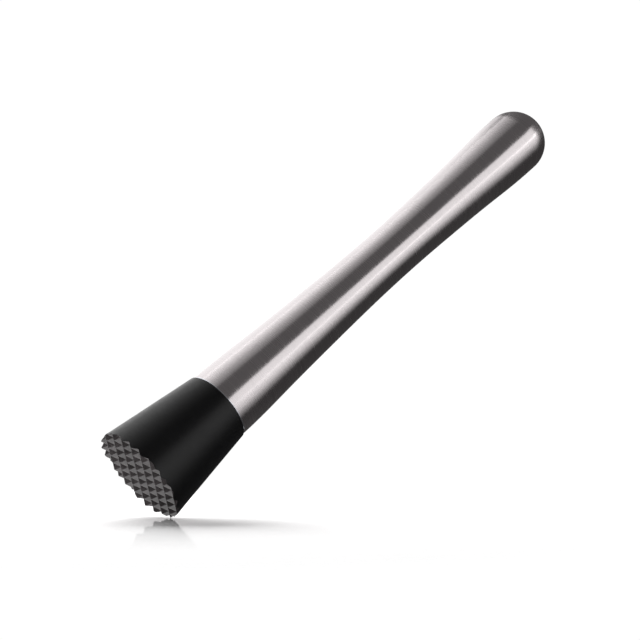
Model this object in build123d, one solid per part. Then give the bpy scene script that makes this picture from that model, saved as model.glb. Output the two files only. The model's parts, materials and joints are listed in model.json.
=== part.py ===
from build123d import *

import os
from math import acos, cos, pi, radians, sin, sqrt, tan

# Bar muddler: a hollow stainless hourglass handle with a screwed-on nylon head.
# The tool stands upright on its toothed face. Z runs from the tooth tips, at z = 0, to the dome's crown.
# The handle carries the stud and the seal, and unscrews upwards from the insert in the head.

# Overall sizes
overall_length = 205.0
face_diameter = 35.0
head_height = 36.2

# Handle: the outside of the tube at its mouth, its waist and its dome
mouth_diameter = 24.84
waist_diameter = 18.96
dome_diameter = 23.5
handle_wall = 0.8
mouth_edge_break = 0.2

# The tube's outline. Each pair is a share of the tube's length, and how much of the change of radius from
# the mouth to the waist, or from the waist to the dome, is done by then.
waist_share = 0.545
mouth_to_waist = [(0.057, 0.05), (0.14, 0.28), (0.287, 0.65)]
waist_to_dome = [(0.669, 0.13), (0.86, 0.66)]

# Dome cap, which a spigot centres in the tube
spigot_length = 4.0
spigot_fit = 0.03

# Plug in the tube's mouth, with a boss that centres the handle on the head
plug_thickness = 7.0
plug_fit = 0.03
plug_chamfer = 0.5
boss_height = 1.4
boss_chamfer = 0.3

# Stud, M8 x 1.25, with a hexagon socket in its lower end
stud_diameter = 8.0
thread_pitch = 1.25
thread_turns = 12
stud_fit = 0.05
stud_chamfer = 0.8
stud_past_nut = 1.5
socket_width = 4.0
socket_depth = 4.0

# Nut and split washer that lock the stud in the plug
nut_width = 13.0
nut_height = 4.0
nut_chamfer_angle = 30.0
washer_diameter = 14.8
washer_thickness = 2.0
washer_slit = 1.0
washer_slit_angle = 20.0

# Brass insert moulded into the head, a wall's thickness larger than the stud
insert_wall = 1.95
insert_below_stud = 3.0
insert_floor = 1.5
insert_setback = 0.3
insert_lead_in = 0.6
insert_waist_depth = 0.8
insert_waist_length = 2.5
knurl_count = 24
knurl_depth = 0.35

# Recess in the head's top, within the tube's bore, and the face seal that fills it round the boss
recess_inset = 1.0
recess_depth = 1.5
seal_width = 2.15
seal_boss_gap = 0.1
seal_wall_gap = 0.15
seal_corner = 0.4

# Head: its collar stands proud of the tube, which is held clear of it by the seal
collar_step = 0.35
seat_gap = 0.05
collar_edge_radius = 0.35

# Teeth: two crossed sets of V grooves that leave pyramids with small flat tips, one of them on the axis
tooth_pitch = 4.35
tooth_height = 1.45
tooth_land = 0.2
groove_overrun = 1.0

# Worked out
handle_foot = head_height
dome_radius = dome_diameter / 2
tube_top = overall_length - dome_radius
tube_length = tube_top - handle_foot
stud_radius = stud_diameter / 2
thread_engagement = thread_turns * thread_pitch
head_top = head_height - seat_gap
recess_floor = head_top - recess_depth
recess_radius = mouth_diameter / 2 - handle_wall - recess_inset
seal_outer = recess_radius - seal_wall_gap
seal_inner = seal_outer - seal_width
boss_radius = seal_inner - seal_boss_gap
insert_top = recess_floor - insert_setback
insert_length = thread_engagement + insert_below_stud + insert_floor
stud_foot = insert_top - thread_engagement
plug_top = handle_foot + plug_thickness
nut_foot = plug_top + washer_thickness
stud_top = nut_foot + nut_height + stud_past_nut
insert_bore_radius = stud_radius + stud_fit
insert_radius = insert_bore_radius + insert_wall


def turned(*points):
    """A solid of revolution about Z from an outline of (radius, height) points."""
    outline = Polyline(*[(r, 0, z) for r, z in points], close=True)
    return revolve(make_face(outline), Axis.Z)


def tube_outline(inset):
    """The tube's curve from mouth to dome, moved in by inset."""
    mouth, waist, dome = mouth_diameter / 2, waist_diameter / 2, dome_radius
    stations = [(0.0, mouth)]
    stations += [(share, mouth + done * (waist - mouth)) for share, done in mouth_to_waist]
    stations += [(waist_share, waist)]
    stations += [(share, waist + done * (dome - waist)) for share, done in waist_to_dome]
    stations += [(1.0, dome)]
    points = [(r - inset, 0, handle_foot + share * tube_length) for share, r in stations]
    return Spline(*points, tangents=[(0, 0, 1), (0, 0, 1)])


def tube_core(inset):
    """Everything inside the tube's outline moved in by inset."""
    side = tube_outline(inset)
    ends = Polyline(side @ 1, (0, 0, tube_top), (0, 0, handle_foot), side @ 0)
    return revolve(make_face(side + ends), Axis.Z)


def hexagon(width, height):
    """A hexagonal prism, width across its flats, standing on z = 0."""
    return extrude(RegularPolygon(width / 2, 6, major_radius=False), height)


def make_handle_shell():
    shell = tube_core(0) - tube_core(handle_wall)
    mouth_edge = shell.edges().group_by(Axis.Z)[0].sort_by(SortBy.LENGTH)[-1]
    return chamfer(mouth_edge, mouth_edge_break)


def dome_arc(radius, start_angle):
    """An arc about the dome's centre, from an angle above the tube's end to the crown."""
    mid_angle = (start_angle + pi / 2) / 2
    places = [(radius * cos(a), 0, tube_top + radius * sin(a)) for a in (start_angle, mid_angle)]
    return ThreePointArc(*places, (0, 0, tube_top + radius))


def make_handle_dome():
    bore_radius = dome_radius - handle_wall
    spigot_radius = bore_radius - spigot_fit
    spigot_bore = spigot_radius - handle_wall
    outside = dome_arc(dome_radius, 0)
    inside = dome_arc(bore_radius, acos(spigot_bore / bore_radius))
    spigot_foot = tube_top - spigot_length
    spigot = Polyline(
        inside @ 0,
        (spigot_bore, 0, spigot_foot),
        (spigot_radius, 0, spigot_foot),
        (spigot_radius, 0, tube_top),
        outside @ 0,
    )
    crown = Line(outside @ 1, inside @ 1)
    return revolve(make_face(outside + inside + spigot + crown), Axis.Z)


def make_mouth_plug():
    slab = turned(
        (0, handle_foot),
        (mouth_diameter, handle_foot),
        (mouth_diameter, plug_top),
        (0, plug_top),
    )
    plug = tube_core(handle_wall + plug_fit) & slab
    plug = chamfer(plug.edges().group_by(Axis.Z)[-1], plug_chamfer)
    boss = turned(
        (0, handle_foot - boss_height),
        (boss_radius - boss_chamfer, handle_foot - boss_height),
        (boss_radius, handle_foot - boss_height + boss_chamfer),
        (boss_radius, handle_foot),
        (0, handle_foot),
    )
    stud_hole = Cylinder(stud_radius + stud_fit, 3 * plug_thickness)
    return plug + boss - Pos(0, 0, handle_foot) * stud_hole


def make_head_stud():
    stud = turned(
        (0, stud_foot),
        (stud_radius - stud_chamfer, stud_foot),
        (stud_radius, stud_foot + stud_chamfer),
        (stud_radius, stud_top - stud_chamfer),
        (stud_radius - stud_chamfer, stud_top),
        (0, stud_top),
    )
    return stud - Pos(0, 0, stud_foot) * hexagon(socket_width, socket_depth)


def make_lock_washer():
    ring = Cylinder(washer_diameter / 2, washer_thickness) - Cylinder(
        stud_radius + stud_fit, washer_thickness
    )
    slit = Pos(washer_diameter / 2, 0, 0) * Rot(washer_slit_angle, 0, 0) * Box(
        washer_diameter, washer_slit, 3 * washer_thickness
    )
    return Pos(0, 0, plug_top + washer_thickness / 2) * (ring - slit)


def make_stud_nut():
    corner_radius = nut_width / sqrt(3)
    corner_drop = (corner_radius - nut_width / 2) * tan(radians(nut_chamfer_angle))
    blank = turned(
        (0, 0),
        (nut_width / 2, 0),
        (corner_radius, corner_drop),
        (corner_radius, nut_height - corner_drop),
        (nut_width / 2, nut_height),
        (0, nut_height),
    )
    nut = hexagon(nut_width, nut_height) & blank
    return Pos(0, 0, nut_foot) * (nut - Cylinder(stud_radius + stud_fit, 3 * nut_height))


def insert_envelope():
    """The insert's outside: two knurled bands with a plain waist between them."""
    waist_radius = insert_radius - insert_waist_depth
    foot = insert_top - insert_length
    waist_foot = foot + (insert_length - insert_waist_length) / 2
    waist_top = waist_foot + insert_waist_length
    body = turned(
        (0, foot),
        (insert_radius, foot),
        (insert_radius, waist_foot),
        (waist_radius, waist_foot),
        (waist_radius, waist_top),
        (insert_radius, waist_top),
        (insert_radius, insert_top),
        (0, insert_top),
    )
    notch_side = knurl_depth * sqrt(2)
    notch = Pos(0, 0, foot) * Rot(0, 0, 45) * Box(
        notch_side,
        notch_side,
        insert_length,
        align=(Align.CENTER, Align.CENTER, Align.MIN),
    )
    return body - PolarLocations(insert_radius, knurl_count) * notch


def make_head_insert():
    bore_foot = insert_top - insert_length + insert_floor
    bore = turned(
        (0, bore_foot),
        (insert_bore_radius, bore_foot),
        (insert_bore_radius, insert_top - insert_lead_in),
        (insert_bore_radius + insert_lead_in, insert_top),
        (0, insert_top),
    )
    return insert_envelope() - bore


def make_seal_ring():
    ring = turned(
        (seal_inner, recess_floor),
        (seal_outer, recess_floor),
        (seal_outer, handle_foot),
        (seal_inner, handle_foot),
    )
    return fillet(ring.edges().filter_by(GeomType.CIRCLE), seal_corner)


def tooth_grooves():
    """V grooves along X and Y, midway between the rows of tips."""
    slope = (tooth_pitch - tooth_land) / 2 / tooth_height
    overrun_half = slope * (tooth_height + groove_overrun)
    reach = face_diameter / 2
    groove = extrude(
        make_face(
            Polyline(
                (0, -reach, tooth_height),
                (overrun_half, -reach, -groove_overrun),
                (-overrun_half, -reach, -groove_overrun),
                close=True,
            )
        ),
        2 * reach,
        dir=(0, 1, 0),
    )
    grooves = []
    rows = int(reach / tooth_pitch + 0.5)
    for row in range(-rows, rows):
        along_y = Pos((row + 0.5) * tooth_pitch, 0, 0) * groove
        grooves += [along_y, Rot(0, 0, 90) * along_y]
    return grooves


def make_head_body():
    cone = turned(
        (0, 0),
        (face_diameter / 2, 0),
        (mouth_diameter / 2 + collar_step, head_top),
        (0, head_top),
    )
    cone = fillet(cone.edges().group_by(Axis.Z)[-1], collar_edge_radius)
    recess = turned(
        (0, recess_floor), (recess_radius, recess_floor), (recess_radius, head_top), (0, head_top)
    )
    insert_mouth = turned(
        (0, insert_top), (insert_radius, insert_top), (insert_radius, recess_floor), (0, recess_floor)
    )
    return cone - recess - insert_mouth - insert_envelope() - tooth_grooves()


nodes = {
    "handle_shell": make_handle_shell(),
    "handle_dome": make_handle_dome(),
    "mouth_plug": make_mouth_plug(),
    "head_stud": make_head_stud(),
    "lock_washer": make_lock_washer(),
    "stud_nut": make_stud_nut(),
    "seal_ring": make_seal_ring(),
    "head_insert": make_head_insert(),
    "head_body": make_head_body(),
}

os.makedirs("parts", exist_ok=True)
for name, shape in nodes.items():
    export_step(shape, f"parts/{name}.step")
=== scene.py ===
"""Looks of the bar muddler: a brushed steel hourglass handle on a black nylon head with pyramid teeth.

Everything is in metres in the part's own frame: the tool stands on its teeth, with Z up the handle.
"""

import json
from math import acos, atan2, cos, degrees, hypot, pi, radians, sin, sqrt, tan

import bpy
import numpy as np
from mathutils import Matrix, Vector
from mathutils.geometry import delaunay_2d_cdt

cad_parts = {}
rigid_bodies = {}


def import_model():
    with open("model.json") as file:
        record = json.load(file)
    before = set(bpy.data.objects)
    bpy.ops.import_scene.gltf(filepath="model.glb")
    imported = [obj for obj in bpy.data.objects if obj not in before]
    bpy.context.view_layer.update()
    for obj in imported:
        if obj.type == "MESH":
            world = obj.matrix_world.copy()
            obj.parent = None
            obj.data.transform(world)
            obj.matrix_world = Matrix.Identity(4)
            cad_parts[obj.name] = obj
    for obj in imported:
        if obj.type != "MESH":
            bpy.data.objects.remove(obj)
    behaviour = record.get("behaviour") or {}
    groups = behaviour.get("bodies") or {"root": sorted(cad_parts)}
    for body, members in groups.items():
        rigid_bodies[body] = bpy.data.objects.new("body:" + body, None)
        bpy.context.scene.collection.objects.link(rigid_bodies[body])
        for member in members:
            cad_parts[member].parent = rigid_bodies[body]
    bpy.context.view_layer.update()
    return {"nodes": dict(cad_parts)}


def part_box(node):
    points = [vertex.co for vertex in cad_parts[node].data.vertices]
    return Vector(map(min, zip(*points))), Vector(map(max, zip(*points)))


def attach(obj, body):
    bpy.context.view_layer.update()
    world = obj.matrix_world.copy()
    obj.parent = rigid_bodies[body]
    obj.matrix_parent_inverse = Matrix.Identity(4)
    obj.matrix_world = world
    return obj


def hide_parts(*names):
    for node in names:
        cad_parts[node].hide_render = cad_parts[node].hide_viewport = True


MM = 0.001

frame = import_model()


# ---- Sizes read from the frame ----


def rings(node):
    """Each CAD vertex of a node as (radius about Z, height), sorted by height."""
    places = [(hypot(v.co.x, v.co.y), v.co.z) for v in frame["nodes"][node].data.vertices]
    return sorted(places, key=lambda p: p[1])


def outside(node):
    """The radius of a turned node's outer surface as a smooth function of height."""
    mesh = frame["nodes"][node].data
    points = []
    for face in mesh.polygons:
        if face.normal.xy.dot(face.center.xy.normalized()) > 0.7:
            points += [mesh.vertices[i].co for i in face.vertices]
    heights = [p.z for p in points]
    radii = [p.xy.length for p in points]
    return np.polynomial.Chebyshev.fit(heights, radii, 14)


HEAD_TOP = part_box("head_body")[1].z
FACE_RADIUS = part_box("head_body")[1].x
INSERT_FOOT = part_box("head_insert")[0].z
INSERT_RADIUS = max(r for r, z in rings("head_insert"))
RECESS_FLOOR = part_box("seal_ring")[0].z
RECESS_RADIUS = min(r for r, z in rings("head_body") if z > HEAD_TOP - 0.001 * MM)
COLLAR_RADIUS, COLLAR_EDGE_FOOT = max(p for p in rings("head_body") if p[1] > HEAD_TOP - 0.4 * MM)
SEAL_INNER = min(r for r, z in rings("seal_ring"))
SEAL_OUTER = max(r for r, z in rings("seal_ring"))
SEAL_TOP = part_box("seal_ring")[1].z
TUBE_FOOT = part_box("handle_shell")[0].z
TUBE_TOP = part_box("handle_shell")[1].z
tube_end = [r for r, z in rings("handle_shell") if z > TUBE_TOP - 0.01 * MM]
TUBE_WALL = max(tube_end) - min(tube_end)
DOME_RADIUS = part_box("handle_dome")[1].x
SPIGOT_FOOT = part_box("handle_dome")[0].z
spigot_end = [r for r, z in rings("handle_dome") if z < SPIGOT_FOOT + 0.01 * MM]
SPIGOT_BORE, SPIGOT_RADIUS = min(spigot_end), max(spigot_end)
STUD_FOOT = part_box("head_stud")[0].z
STUD_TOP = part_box("head_stud")[1].z
STUD_RADIUS = max(r for r, z in rings("head_stud"))

# The tooth tips are the small flats at z = 0, in rows along X and Y with one on the axis
face_corners = [v.co for v in frame["nodes"]["head_body"].data.vertices if v.co.z < 0.1 * HEAD_TOP]
tips = [v for v in face_corners if v.z < 0.001 * MM and v.xy.length < 0.8 * FACE_RADIUS]
tip_edges = sorted({round(v.x, 7) for v in tips})
TOOTH_LAND = 2 * min(x for x in tip_edges if x > 0.001 * MM)
TOOTH_PITCH = min(x for x in tip_edges if x > TOOTH_LAND) + TOOTH_LAND / 2
TOOTH_HEIGHT = max(v.z for v in face_corners if v.xy.length < TOOTH_PITCH)

# Fine sizes that only the looks need
MOUTH_EDGE = 0.4 * MM
TOOTH_ROUNDING = 0.09 * MM
RIM_ROUNDING = 0.13 * MM
THREAD_PITCH = 1.25 * MM
THREAD_DEPTH = 0.6134 * THREAD_PITCH
THREAD_CREST = 0.16
THREAD_FLANK = 0.68
SOCKET_WIDTH = 4.0 * MM
SOCKET_DEPTH = 4.0 * MM
SOCKET_POINT = 0.8 * MM
SEAL_CORNER = 0.4 * MM
RECESS_LIP = 0.15 * MM
AROUND = 288
SHARP_ANGLE = radians(38)


# ---- Mesh building ----


def make_piece(name, points, faces, body, node, material):
    """A mesh that rides on a body and stands for a CAD node."""
    mesh = bpy.data.meshes.new(name)
    mesh.from_pydata(points, [], faces)
    mesh.validate()
    mesh.polygons.foreach_set("use_smooth", [True] * len(mesh.polygons))
    mesh.set_sharp_from_angle(angle=SHARP_ANGLE)
    piece = bpy.data.objects.new(name, mesh)
    bpy.context.scene.collection.objects.link(piece)
    mesh.materials.append(material)
    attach(piece, body)
    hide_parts(node)
    return piece


def ring_points(count, radius_at, height_at):
    """One ring of points about Z; radius and height are functions of the angle."""
    angles = [2 * pi * i / count for i in range(count)]
    return [(radius_at(a) * cos(a), radius_at(a) * sin(a), height_at(a)) for a in angles]


def skin(loops, count, closed=False):
    """Quads that join loops of points in order, counter-clockwise loops going up the outside."""
    faces = []
    pairs = [(k, k + 1) for k in range(loops - 1)]
    if closed:
        pairs.append((loops - 1, 0))
    for low, high in pairs:
        for i in range(count):
            j = (i + 1) % count
            faces.append((low * count + i, low * count + j, high * count + j, high * count + i))
    return faces


def lathe(profile, count=AROUND):
    """Turns a closed (radius, height) profile about Z, with a cap where it starts and ends on the axis."""
    on_axis = profile[0][0] == 0
    turned = profile[1:-1] if on_axis else profile
    points = []
    for radius, height in turned:
        points += ring_points(count, lambda a: radius, lambda a: height)
    faces = skin(len(turned), count, closed=not on_axis)
    if on_axis:
        foot, crown = len(points), len(points) + 1
        points += [(0, 0, profile[0][1]), (0, 0, profile[-1][1])]
        last = (len(turned) - 1) * count
        for i in range(count):
            j = (i + 1) % count
            faces.append((foot, j, i))
            faces.append((crown, last + i, last + j))
    return points, faces


def arc(centre_r, centre_z, radius, start, end, steps):
    """Points of a circular arc in the (radius, height) plane, angles in degrees from outward to up."""
    angles = [radians(start + (end - start) * i / steps) for i in range(steps + 1)]
    return [(centre_r + radius * cos(a), centre_z + radius * sin(a)) for a in angles]


# ---- Materials ----


class Shader:
    """A node material with short ways to add and join nodes."""

    def __init__(self, name):
        self.material = bpy.data.materials.new(name)
        self.material.use_nodes = True
        self.nodes = self.material.node_tree.nodes
        self.links = self.material.node_tree.links
        self.surface = self.nodes["Principled BSDF"]

    def add(self, kind, **settings):
        node = self.nodes.new(kind)
        for key, value in settings.items():
            setattr(node, key, value)
        return node

    def set(self, **sockets):
        """Uniform values on the surface shader, by socket name with _ for a space."""
        for key, value in sockets.items():
            self.surface.inputs[key.replace("_", " ")].default_value = value

    def coordinates(self, scale):
        """Object coordinates stretched by a scale along each axis."""
        place = self.add("ShaderNodeTexCoord")
        stretch = self.add("ShaderNodeMapping")
        stretch.inputs["Scale"].default_value = scale
        self.links.new(place.outputs["Object"], stretch.inputs["Vector"])
        return stretch.outputs["Vector"]

    def noise(self, scale, detail=3.0, roughness=0.55, vector=None):
        node = self.add("ShaderNodeTexNoise")
        node.inputs["Scale"].default_value = scale
        node.inputs["Detail"].default_value = detail
        node.inputs["Roughness"].default_value = roughness
        self.links.new(vector or self.coordinates((1, 1, 1)), node.inputs["Vector"])
        return node.outputs["Fac"]

    def remap(self, value, low, high, to_low, to_high):
        node = self.add("ShaderNodeMapRange", clamp=True)
        for key, number in (
            ("From Min", low),
            ("From Max", high),
            ("To Min", to_low),
            ("To Max", to_high),
        ):
            node.inputs[key].default_value = number
        self.links.new(value, node.inputs["Value"])
        return node.outputs["Result"]

    def maths(self, operation, a, b):
        node = self.add("ShaderNodeMath", operation=operation)
        for socket, value in zip(node.inputs, (a, b)):
            if isinstance(value, (int, float)):
                socket.default_value = value
            else:
                self.links.new(value, socket)
        return node.outputs["Value"]

    def blend(self, amount, colour_a, colour_b):
        node = self.add("ShaderNodeMix", data_type="RGBA")
        self.links.new(amount, node.inputs["Factor"])
        for socket, value in ((node.inputs[6], colour_a), (node.inputs[7], colour_b)):
            if isinstance(value, tuple):
                socket.default_value = (*value, 1)
            else:
                self.links.new(value, socket)
        return node.outputs[2]

    def bump(self, height, distance, strength=1.0, under=None):
        node = self.add("ShaderNodeBump")
        node.inputs["Strength"].default_value = strength
        node.inputs["Distance"].default_value = distance
        self.links.new(height, node.inputs["Height"])
        if under:
            self.links.new(under, node.inputs["Normal"])
        return node.outputs["Normal"]

    def drive(self, **sockets):
        for key, output in sockets.items():
            self.links.new(output, self.surface.inputs[key.replace("_", " ")])


def height_mask(shader, low, high):
    """1 below the height low, 0 above the height high."""
    place = shader.add("ShaderNodeTexCoord")
    split = shader.add("ShaderNodeSeparateXYZ")
    shader.links.new(place.outputs["Object"], split.inputs[0])
    return shader.remap(split.outputs["Z"], low, high, 1.0, 0.0)


def downward_mask(shader):
    """1 where the surface faces down, as the teeth do, and 0 on the head's side."""
    facing = shader.add("ShaderNodeTexCoord")
    split = shader.add("ShaderNodeSeparateXYZ")
    shader.links.new(facing.outputs["Normal"], split.inputs[0])
    return shader.remap(split.outputs["Z"], -0.6, -0.35, 1.0, 0.0)


def brushed_steel():
    """Stainless steel brushed round the handle: fine rings of grain, highlights drawn out along Z, and a
    painted highlight ring at the tube's foot.
    """
    s = Shader("brushed_steel")
    grain = s.noise(1.0, detail=4.0, vector=s.coordinates((140, 140, 5200)))
    coarse_grain = s.noise(1.0, detail=2.0, vector=s.coordinates((60, 60, 1100)))
    clouds = s.noise(55.0, detail=3.0)
    lines = s.maths("ADD", s.maths("MULTIPLY", grain, 0.65), s.maths("MULTIPLY", coarse_grain, 0.35))
    colour = s.blend(s.remap(lines, 0.3, 0.7, 0, 1), (0.565, 0.53, 0.536), (0.665, 0.624, 0.631))
    # Painted highlight: a thin bright bluish-white band of base colour over the rounded mouth edge at the
    # tube's foot stands in for a highlight line there
    painted_rim_highlight_and_floor_gloss = height_mask(s, TUBE_FOOT + 0.35 * MM, TUBE_FOOT + 0.45 * MM)
    colour = s.blend(painted_rim_highlight_and_floor_gloss, colour, (0.84, 0.86, 0.92))
    tangent = s.add("ShaderNodeTangent", direction_type="RADIAL", axis="Z")
    s.set(Metallic=1.0, Anisotropic=0.8, Anisotropic_Rotation=0.25)
    rough_clouds = s.remap(clouds, 0.3, 0.7, -0.025, 0.025)
    rough_lines = s.remap(lines, 0.3, 0.7, 0.20, 0.30)
    s.drive(
        Base_Color=colour,
        Roughness=s.maths("ADD", rough_lines, rough_clouds),
        Tangent=tangent.outputs["Tangent"],
        Normal=s.bump(lines, 0.0018 * MM, 0.5),
    )
    return s.material


def turned_steel():
    """Lathe-turned stainless steel: fine tool marks in rings about the axis."""
    s = Shader("turned_steel")
    place = s.coordinates((1, 1, 1))
    marks = s.add("ShaderNodeTexWave", wave_type="RINGS", rings_direction="Z", wave_profile="SIN")
    marks.inputs["Scale"].default_value = 1400
    marks.inputs["Distortion"].default_value = 1.2
    s.links.new(place, marks.inputs["Vector"])
    clouds = s.noise(300.0)
    colour = s.blend(clouds, (0.50, 0.50, 0.51), (0.63, 0.62, 0.61))
    s.set(Metallic=1.0)
    s.drive(
        Base_Color=colour,
        Roughness=s.remap(clouds, 0.3, 0.7, 0.24, 0.36),
        Normal=s.bump(marks.outputs["Fac"], 0.01 * MM, 0.5),
    )
    return s.material


def fastener_steel():
    """Plain stainless fasteners: rolled threads with darker, rougher patches."""
    s = Shader("fastener_steel")
    patches = s.noise(900.0, detail=5.0)
    scratches = s.noise(1.0, detail=3.0, vector=s.coordinates((900, 900, 9000)))
    colour = s.blend(patches, (0.38, 0.38, 0.39), (0.60, 0.60, 0.60))
    s.set(Metallic=1.0)
    s.drive(
        Base_Color=colour,
        Roughness=s.remap(patches, 0.3, 0.7, 0.26, 0.42),
        Normal=s.bump(scratches, 0.006 * MM, 0.5),
    )
    return s.material


def brass():
    """Knurled brass insert, slightly tarnished."""
    s = Shader("brass")
    tarnish = s.noise(500.0, detail=5.0)
    marks = s.noise(1.0, vector=s.coordinates((900, 900, 7000)))
    colour = s.blend(s.remap(tarnish, 0.35, 0.7, 0, 1), (0.74, 0.54, 0.24), (0.52, 0.36, 0.15))
    s.set(Metallic=1.0)
    s.drive(
        Base_Color=colour,
        Roughness=s.remap(tarnish, 0.3, 0.7, 0.24, 0.42),
        Normal=s.bump(marks, 0.006 * MM, 0.5),
    )
    return s.material


def silicone():
    """Grey silicone with a faint bloom."""
    s = Shader("silicone")
    bloom = s.noise(700.0, detail=4.0)
    s.set(Specular_IOR_Level=0.4, Subsurface_Weight=0.15, Subsurface_Scale=0.4 * MM)
    s.drive(
        Base_Color=s.blend(bloom, (0.44, 0.45, 0.44), (0.60, 0.60, 0.58)),
        Roughness=s.remap(bloom, 0.3, 0.7, 0.42, 0.62),
        Normal=s.bump(bloom, 0.01 * MM, 0.4),
    )
    return s.material


def black_nylon():
    """Satin black nylon with a fine moulded texture, and teeth scuffed grey towards their tips."""
    s = Shader("black_nylon")
    grain = s.noise(5200.0, detail=2.0, roughness=0.5)
    ripple = s.noise(420.0, detail=4.0)
    scuffs = s.noise(2600.0, detail=5.0, roughness=0.65)
    teeth = downward_mask(s)
    tips = height_mask(s, 0.0, 0.55 * MM)
    plain = s.blend(ripple, (0.0026, 0.0026, 0.003), (0.0042, 0.0042, 0.0046))
    patches = s.noise(170.0, detail=2.0)
    wear = s.maths("MULTIPLY", scuffs, s.remap(patches, 0.35, 0.65, 0.5, 1.5))
    scuffed = s.blend(wear, (0.031, 0.028, 0.028), (0.104, 0.090, 0.093))
    tooth_colour = s.blend(teeth, plain, scuffed)
    worn_tips = s.maths("MULTIPLY", tips, s.remap(scuffs, 0.4, 0.7, 0, 0.5))
    worn = s.blend(worn_tips, tooth_colour, (0.13, 0.125, 0.125))
    rough = s.maths("ADD", s.remap(ripple, 0.3, 0.7, 0.31, 0.39), s.remap(grain, 0.3, 0.7, -0.03, 0.03))
    s.set(IOR=1.53, Specular_IOR_Level=0.22)
    s.drive(
        Base_Color=worn,
        Roughness=rough,
        Normal=s.bump(grain, 0.006 * MM, 0.55, under=s.bump(ripple, 0.03 * MM, 0.25)),
    )
    return s.material


# ---- Handle ----


def handle_tube(material):
    """The hourglass tube, outside and bore, with a rounded edge at its mouth."""
    outline = outside("handle_shell")
    rows = 130
    start = TUBE_FOOT + MOUTH_EDGE
    levels = [start + (TUBE_TOP - TUBE_FOOT - MOUTH_EDGE) * i / rows for i in range(rows + 1)]
    side = [(float(outline(z)), z) for z in levels]
    mouth_radius = side[0][0]
    edge = arc(mouth_radius - MOUTH_EDGE, TUBE_FOOT + MOUTH_EDGE, MOUTH_EDGE, -90, 0, 6)[:-1]
    bore = [(r - TUBE_WALL, z) for r, z in reversed(side)]
    bore.append((mouth_radius - TUBE_WALL, TUBE_FOOT))
    points, faces = lathe(edge + side + bore)
    return make_piece("handle_tube", points, faces, "handle", "handle_shell", material)


def handle_cap(material):
    """The domed cap with the spigot that sits in the tube."""
    hollow_radius = DOME_RADIUS - TUBE_WALL
    hollow = arc(0, TUBE_TOP, hollow_radius, 90, degrees(acos(SPIGOT_BORE / hollow_radius)), 24)
    spigot = [(SPIGOT_BORE, SPIGOT_FOOT), (SPIGOT_RADIUS, SPIGOT_FOOT), (SPIGOT_RADIUS, TUBE_TOP)]
    crown = arc(0, TUBE_TOP, DOME_RADIUS, 0, 90, 48)
    outline = [(0, hollow[0][1])] + hollow[1:] + spigot + crown[:-1] + [(0, crown[-1][1])]
    points, faces = lathe(outline)
    return make_piece("handle_cap", points, faces, "handle", "handle_dome", material)


def thread_radius(angle, height):
    """The radius of a right-hand thread with flat roots and crests."""
    turn = (height / THREAD_PITCH - angle / (2 * pi)) % 1.0
    climb = abs(2 * turn - 1)
    share = min(max((climb - THREAD_CREST) / THREAD_FLANK, 0.0), 1.0)
    return STUD_RADIUS - THREAD_DEPTH * share


def stud_thread(material):
    """The stud with its rolled thread, chamfered ends and hexagon socket."""
    count = 96
    rows_per_turn = 14
    rows = int((STUD_TOP - STUD_FOOT) / THREAD_PITCH * rows_per_turn)
    chamfer = THREAD_DEPTH + 0.1 * MM
    points = []

    def socket_radius(angle):
        return SOCKET_WIDTH / 2 / cos((angle % (pi / 3)) - pi / 6)

    loops = [
        (socket_radius, lambda a: STUD_FOOT + SOCKET_DEPTH),
        (socket_radius, lambda a: STUD_FOOT),
    ]
    for row in range(rows + 1):
        height = STUD_FOOT + (STUD_TOP - STUD_FOOT) * row / rows
        end = min(height - STUD_FOOT, STUD_TOP - height)
        limit = STUD_RADIUS - chamfer + end
        loops.append(
            (lambda a, z=height, m=limit: min(thread_radius(a, z), m), lambda a, z=height: z)
        )
    for radius_at, height_at in loops:
        points += ring_points(count, radius_at, height_at)
    faces = skin(len(loops), count)
    floor, top = len(points), len(points) + 1
    points += [(0, 0, STUD_FOOT + SOCKET_DEPTH + SOCKET_POINT), (0, 0, STUD_TOP)]
    last = (len(loops) - 1) * count
    for i in range(count):
        j = (i + 1) % count
        faces.append((floor, j, i))
        faces.append((top, last + i, last + j))
    return make_piece("stud_thread", points, faces, "handle", "head_stud", material)


def seal(material):
    """The silicone ring: flat where it is squeezed, and rounded at its corners."""
    profile = []
    for centre_r, centre_z, start in (
        (SEAL_OUTER - SEAL_CORNER, RECESS_FLOOR + SEAL_CORNER, -90),
        (SEAL_OUTER - SEAL_CORNER, SEAL_TOP - SEAL_CORNER, 0),
        (SEAL_INNER + SEAL_CORNER, SEAL_TOP - SEAL_CORNER, 90),
        (SEAL_INNER + SEAL_CORNER, RECESS_FLOOR + SEAL_CORNER, 180),
    ):
        profile += arc(centre_r, centre_z, SEAL_CORNER, start, start + 90, 6)
    points, faces = lathe(profile)
    return make_piece("seal_moulding", points, faces, "seal", "seal_ring", material)


# ---- Head ----


def cone_radius(height):
    """The cone's radius at a height above the tooth tips."""
    return FACE_RADIUS + (COLLAR_RADIUS - FACE_RADIUS) * height / COLLAR_EDGE_FOOT


def soft_max(a, b, rounding):
    """The larger of two values, with the corner where they cross rounded."""
    return (a + b + sqrt((a - b) ** 2 + rounding**2)) / 2


def tooth_surface(x, y):
    """Height of the toothed face: pyramids with rounded crests and roots."""
    half = TOOTH_PITCH / 2
    slope = TOOTH_HEIGHT / (half - TOOTH_LAND / 2)
    reach = []
    for place in (x, y):
        from_tip = abs((place + half) % TOOTH_PITCH - half)
        reach.append(half - sqrt((half - from_tip) ** 2 + TOOTH_ROUNDING**2))
    far = soft_max(reach[0], reach[1], TOOTH_ROUNDING) - TOOTH_LAND / 2
    return slope * soft_max(far, 0, TOOTH_ROUNDING)


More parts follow.
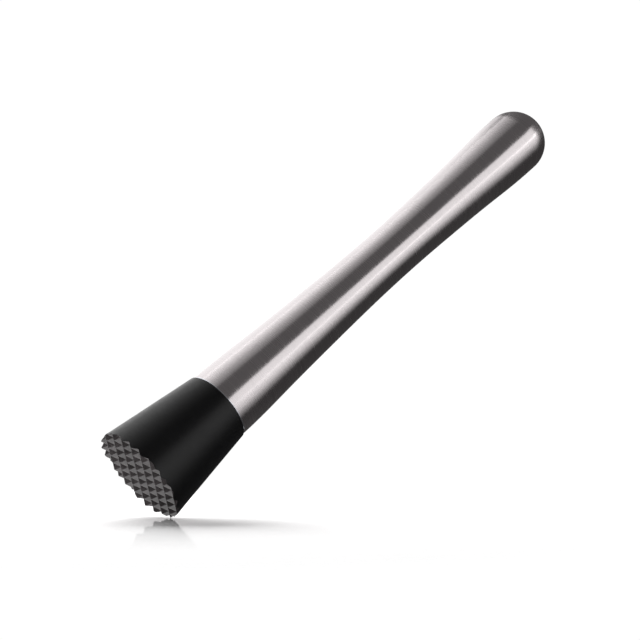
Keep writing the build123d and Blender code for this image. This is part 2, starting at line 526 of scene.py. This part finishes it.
def toothed_face(inner, rim, points):
    """Fills the rim, whose radii are inner, with a fine grid in line with the teeth, added to points."""
    count = len(rim)
    step = TOOTH_PITCH / 24
    flat = [Vector(p[:2]) for p in rim]
    reach = int(FACE_RADIUS / step)
    margin = 0.6 * step
    for i in range(-reach, reach + 1):
        for j in range(-reach, reach + 1):
            x, y = i * step, j * step
            nearest = inner[round(atan2(y, x) / (2 * pi) * count) % count]
            if hypot(x, y) < nearest - margin:
                flat.append(Vector((x, y)))
    outline = [(i, (i + 1) % count) for i in range(count)]
    verts, _, cells, origin, _, _ = delaunay_2d_cdt(flat, outline, [], 1, 1e-9)
    index = []
    for place, sources in zip(verts, origin):
        if sources and sources[0] < count:
            index.append(sources[0])
        else:
            index.append(len(points))
            points.append((place.x, place.y, tooth_surface(place.x, place.y)))
    return [tuple(index[k] for k in reversed(cell)) for cell in cells]


def head_moulding(material):
    """The nylon cone: collar, recess and insert pocket above, and the toothed face below."""
    count = 720
    rim = []
    for i in range(count):
        angle = 2 * pi * i / count
        radius = FACE_RADIUS
        for _ in range(6):
            radius = cone_radius(tooth_surface(radius * cos(angle), radius * sin(angle)))
        rim.append(radius)

    def loop(radii, height_of):
        places = []
        for i, radius in enumerate(radii):
            angle = 2 * pi * i / count
            x, y = radius * cos(angle), radius * sin(angle)
            places.append((x, y, height_of(i, x, y)))
        return places

    inner = [r - RIM_ROUNDING for r in rim]
    rim_heights = [p[2] for p in loop(rim, lambda i, x, y: tooth_surface(x, y))]
    loops = [loop(inner, lambda i, x, y: tooth_surface(x, y))]
    for across, up in ((0.30, 0.12), (0.06, 0.45), (0.0, 1.0)):
        heights = [h + RIM_ROUNDING * up for h in rim_heights]
        radii = [cone_radius(h) - RIM_ROUNDING * across for h in heights]
        loops.append(loop(radii, lambda i, x, y: heights[i]))
    skirt_foot = TOOTH_HEIGHT + 0.4 * MM
    skirt_rows = 24
    for row in range(skirt_rows + 1):
        height = skirt_foot + (COLLAR_EDGE_FOOT - skirt_foot) * row / skirt_rows
        loops.append(loop([cone_radius(height)] * count, lambda i, x, y: height))
    edge = HEAD_TOP - COLLAR_EDGE_FOOT
    upper = arc(COLLAR_RADIUS - edge, COLLAR_EDGE_FOOT, edge, 0, 90, 6)[1:]
    upper += arc(RECESS_RADIUS + RECESS_LIP, HEAD_TOP - RECESS_LIP, RECESS_LIP, 90, 180, 4)
    upper += [
        (RECESS_RADIUS, RECESS_FLOOR),
        (INSERT_RADIUS, RECESS_FLOOR),
        (INSERT_RADIUS, INSERT_FOOT),
    ]
    for radius, height in upper:
        loops.append(loop([radius] * count, lambda i, x, y: height))
    points = [p for ring in loops for p in ring]
    faces = skin(len(loops), count)
    pocket_floor = len(points)
    points.append((0, 0, INSERT_FOOT))
    last = (len(loops) - 1) * count
    for i in range(count):
        faces.append((pocket_floor, last + i, last + (i + 1) % count))

    faces += toothed_face(inner, loops[0], points)
    return make_piece("head_moulding", points, faces, "head", "head_body", material)


# ---- Pieces ----

steel = brushed_steel()
nylon = black_nylon()
plain_steel = turned_steel()
bolt_steel = fastener_steel()
insert_brass = brass()

handle_tube(steel)
handle_cap(steel)
stud_thread(bolt_steel)
seal(silicone())
head = head_moulding(nylon)
for node, material in (
    ("mouth_plug", plain_steel),
    ("lock_washer", bolt_steel),
    ("stud_nut", bolt_steel),
    ("head_insert", insert_brass),
):
    for material_slot in frame["nodes"][node].material_slots:
        material_slot.material = material


# ---- Camera ----

CAMERA_AZIMUTH = radians(29.3)
CAMERA_ELEVATION = radians(-25.1)
CAMERA_ROLL = radians(48.25)
CAMERA_DISTANCE = 0.5755
AIM_HEIGHT = 0.0858
AIM_ASIDE = 1.2 * MM
FOCAL_LENGTH_MM = 93.94
SENSOR_WIDTH_MM = 36

toward = Vector((sin(CAMERA_AZIMUTH), -cos(CAMERA_AZIMUTH), 0))
right = Vector((cos(CAMERA_AZIMUTH), sin(CAMERA_AZIMUTH), 0))
back = toward * cos(CAMERA_ELEVATION) + Vector((0, 0, sin(CAMERA_ELEVATION)))
upright = back.cross(right)
view_right = right * cos(CAMERA_ROLL) + upright * sin(CAMERA_ROLL)
view_up = back.cross(view_right)


def place(obj, location, x_axis, y_axis, z_axis):
    """Puts an object in the scene at a place, with its own axes along the ones given."""
    turn = Matrix((x_axis, y_axis, z_axis)).transposed().to_4x4()
    obj.matrix_world = Matrix.Translation(location) @ turn
    bpy.context.scene.collection.objects.link(obj)


def make_camera():
    camera = bpy.data.objects.new("camera", bpy.data.cameras.new("camera"))
    camera.data.lens = FOCAL_LENGTH_MM
    camera.data.sensor_width = SENSOR_WIDTH_MM
    camera.data.clip_start = 0.01
    camera.data.clip_end = 20
    aim = Vector((0, 0, AIM_HEIGHT)) + right * AIM_ASIDE
    place(camera, aim + back * CAMERA_DISTANCE, view_right, view_up, back)
    bpy.context.scene.camera = camera


make_camera()


# ---- Light ----

# Each soft box as (degrees round the handle from the camera's side, radiance) along it
SIDE_STEPS = [(6, 1.12), (32, 1.12), (44, 0.95), (52, 0.72), (62, 0.42), (76, 0.06)]
TOP_STEPS = [(-180, 1.25), (-106, 1.25), (-90, 1.0), (-78, 0.67), (-67, 0.42), (-46, 0.10)]
STRIP_DEGREES = 6


def soft_box(name, around, lift, radiance, width, height, aim=0.115, distance=0.9):
    """A rectangular light round the handle's axis: degrees round from the camera's side, and above level."""
    a, e = radians(around), radians(lift)
    outward = toward * cos(a) * cos(e) + right * sin(a) * cos(e) + Vector((0, 0, sin(e)))
    sideways = (right * cos(a) - toward * sin(a)).normalized()
    lamp = bpy.data.lights.new(name, "AREA")
    lamp.shape = "RECTANGLE"
    lamp.size = width
    lamp.size_y = height
    lamp.energy = radiance * pi * width * height
    box = bpy.data.objects.new(name, lamp)
    box.visible_camera = False
    place(box, Vector((0, 0, aim)) + outward * distance, sideways, outward.cross(sideways), outward)


def graded_box(name, lift, height, steps, distance=0.9):
    """A soft box whose brightness changes round the axis; steps are (degrees round, radiance) along it."""
    for index, ((start, bright), (end, dim)) in enumerate(zip(steps, steps[1:])):
        parts = max(1, round(abs(end - start) / STRIP_DEGREES)) if bright != dim else 1
        for part in range(parts):
            share = (part + 0.5) / parts
            width = 2 * distance * tan(radians(abs(end - start) / parts / 2))
            radiance = bright + share * (dim - bright)
            around = start + share * (end - start)
            soft_box(f"{name}_{index}_{part}", around, lift, radiance, width, height)


def make_lights():
    graded_box("side_box", lift=24, height=1.5, steps=SIDE_STEPS)
    graded_box("top_box", lift=11, height=0.92, steps=TOP_STEPS)
    soft_box("low_box", 143, -33, radiance=2.0, width=0.36, height=0.36, aim=0, distance=0.4)


class World:
    """The studio round the tool: white to the camera, and dark grey in reflections with a few soft zones."""

    def __init__(self):
        world = bpy.data.worlds.new("studio")
        bpy.context.scene.world = world
        world.use_nodes = True
        self.nodes, self.links = world.node_tree.nodes, world.node_tree.links
        self.nodes.clear()
        self.direction = self.nodes.new("ShaderNodeTexCoord").outputs["Generated"]

    def zone(self, towards, start, full):
        """0 outside, and 1 inside, a soft round patch of sky about a direction, by cosine."""
        dot = self.nodes.new("ShaderNodeVectorMath")
        dot.operation = "DOT_PRODUCT"
        dot.inputs[1].default_value = towards.normalized()
        self.links.new(self.direction, dot.inputs[0])
        reach = self.nodes.new("ShaderNodeMapRange")
        reach.interpolation_type = "SMOOTHSTEP"
        reach.inputs["From Min"].default_value = start
        reach.inputs["From Max"].default_value = full
        self.links.new(dot.outputs["Value"], reach.inputs["Value"])
        return reach.outputs["Result"]

    def mix(self, amount, grey, under):
        node = self.nodes.new("ShaderNodeMix")
        self.links.new(amount, node.inputs["Factor"])
        if isinstance(under, float):
            node.inputs["A"].default_value = under
        else:
            self.links.new(under, node.inputs["A"])
        node.inputs["B"].default_value = grey
        return node.outputs["Result"]

    def finish(self, level):
        path = self.nodes.new("ShaderNodeLightPath")
        seen = self.nodes.new("ShaderNodeBackground")
        seen.inputs["Color"].default_value = (1, 1, 1, 1)
        seen.inputs["Strength"].default_value = 1.02
        fill = self.nodes.new("ShaderNodeBackground")
        fill.inputs["Color"].default_value = (1.0, 0.975, 0.98, 1)
        self.links.new(level, fill.inputs["Strength"])
        both = self.nodes.new("ShaderNodeMixShader")
        self.links.new(path.outputs["Is Camera Ray"], both.inputs["Fac"])
        self.links.new(fill.outputs[0], both.inputs[1])
        self.links.new(seen.outputs[0], both.inputs[2])
        out = self.nodes.new("ShaderNodeOutputWorld")
        self.links.new(both.outputs[0], out.inputs["Surface"])


def make_world():
    world = World()
    dark_side = toward * cos(radians(112)) + right * sin(radians(112)) + Vector((0, 0, 0.45))
    level = world.mix(world.zone(dark_side, 0.35, 0.8), 0.05, 0.122)
    level = world.mix(world.zone(view_up * 0.03 - back, 0.965, 0.99), 1.2, level)
    world.finish(level)


make_lights()
make_world()
bpy.context.scene.view_settings.view_transform = "Standard"


# ---- Floor ----

FLOOR_TILT = radians(-3)
FLOOR_REACH = 0.20
FLOOR_RINGS = 12
FLOOR_SIDES = 64
FLOOR_GAP = 0.02 * MM
SHINE = 0.42
SHINE_NEAR, SHINE_FAR = 0.004, 0.13
FLOOR_LIGHT_FROM = view_up * 0.42 - view_right * 0.30 - back * 0.85
FLOOR_LIGHT_DISTANCE = 0.9
FLOOR_LIGHT_WIDTH = 1
FLOOR_LIGHT_RADIANCE = 13.0


def make_floor():
    """A pale table top under the head's lowest teeth, which fades out all round."""
    normal = view_up * cos(FLOOR_TILT) + back * sin(FLOOR_TILT)
    ahead = normal.cross(view_right)
    corners = frame["nodes"]["head_body"].data.vertices
    lowest = min((v.co for v in corners), key=lambda p: p.dot(normal))
    mesh = bpy.data.meshes.new("table_top")
    points = [(0, 0, 0)]
    for ring in range(1, FLOOR_RINGS + 1):
        points += ring_points(FLOOR_SIDES, lambda a: FLOOR_REACH * ring / FLOOR_RINGS, lambda a: 0)
    faces = [(0, 1 + i, 1 + (i + 1) % FLOOR_SIDES) for i in range(FLOOR_SIDES)]
    for ring in range(FLOOR_RINGS - 1):
        for i in range(FLOOR_SIDES):
            j = (i + 1) % FLOOR_SIDES
            near = 1 + ring * FLOOR_SIDES
            far = near + FLOOR_SIDES
            faces.append((near + i, far + i, far + j, near + j))
    mesh.from_pydata(points, [], faces)
    floor = bpy.data.objects.new("table_top", mesh)
    place(floor, lowest - normal * FLOOR_GAP, view_right, -ahead, normal)
    floor.visible_glossy = False
    floor.visible_shadow = False

    s = Shader("table")
    s.nodes.remove(s.surface)
    where = s.add("ShaderNodeTexCoord").outputs["Object"]
    from_contact = s.add("ShaderNodeVectorMath", operation="LENGTH")
    s.links.new(where, from_contact.inputs[0])
    blotches = s.noise(60.0, detail=3.0)
    paint = s.add("ShaderNodeBsdfDiffuse")
    s.links.new(s.blend(blotches, (0.86, 0.86, 0.86), (0.9, 0.9, 0.9)), paint.inputs["Color"])
    polish = s.add("ShaderNodeBsdfGlossy")
    s.links.new(s.remap(blotches, 0.3, 0.7, 0.02, 0.05), polish.inputs["Roughness"])
    painted_rim_highlight_and_floor_gloss = s.add("ShaderNodeMixShader")
    shine = s.remap(from_contact.outputs["Value"], SHINE_NEAR, SHINE_FAR, SHINE, 0.0)
    s.links.new(shine, painted_rim_highlight_and_floor_gloss.inputs["Fac"])
    s.links.new(paint.outputs[0], painted_rim_highlight_and_floor_gloss.inputs[1])
    s.links.new(polish.outputs[0], painted_rim_highlight_and_floor_gloss.inputs[2])
    clear = s.add("ShaderNodeBsdfTransparent")
    geometry = s.add("ShaderNodeNewGeometry")
    fade = s.remap(from_contact.outputs["Value"], 0.5 * FLOOR_REACH, 0.95 * FLOOR_REACH, 1.0, 0.0)
    front = s.maths("SUBTRACT", 1.0, geometry.outputs["Backfacing"])
    seen = s.add("ShaderNodeMixShader")
    s.links.new(s.maths("MULTIPLY", fade, front), seen.inputs["Fac"])
    s.links.new(clear.outputs[0], seen.inputs[1])
    s.links.new(painted_rim_highlight_and_floor_gloss.outputs[0], seen.inputs[2])
    s.links.new(seen.outputs[0], s.nodes["Material Output"].inputs["Surface"])
    mesh.materials.append(s.material)
    return floor


def collection_of(name, pieces):
    """A collection for light linking, which stays out of the scene."""
    collection = bpy.data.collections.new(name)
    for piece in pieces:
        collection.objects.link(piece)
    return collection


def light_floor(floor, head):
    """Keeps the soft boxes off the floor, and lights it from behind; only the head shades that light."""
    pieces = [obj for obj in bpy.data.objects if obj.type == "MESH" and obj != floor]
    lit_by_soft_boxes = collection_of("lit_by_soft_boxes", pieces)
    for obj in bpy.data.objects:
        if obj.type == "LIGHT":
            obj.light_linking.receiver_collection = lit_by_soft_boxes
    outward = FLOOR_LIGHT_FROM.normalized()
    sideways = outward.cross(view_up).normalized()
    lamp = bpy.data.lights.new("floor_box", "AREA")
    lamp.shape = "DISK"
    lamp.size = FLOOR_LIGHT_WIDTH
    lamp.energy = FLOOR_LIGHT_RADIANCE * pi * pi * (lamp.size / 2) ** 2
    box = bpy.data.objects.new("floor_box", lamp)
    box.visible_camera = False
    box.visible_glossy = False
    contact = floor.matrix_world.translation
    place(box, contact + outward * FLOOR_LIGHT_DISTANCE, sideways, outward.cross(sideways), outward)
    box.light_linking.receiver_collection = collection_of("lit_by_floor_box", [floor])
    box.light_linking.blocker_collection = collection_of("shades_the_floor", [head])


light_floor(make_floor(), head)
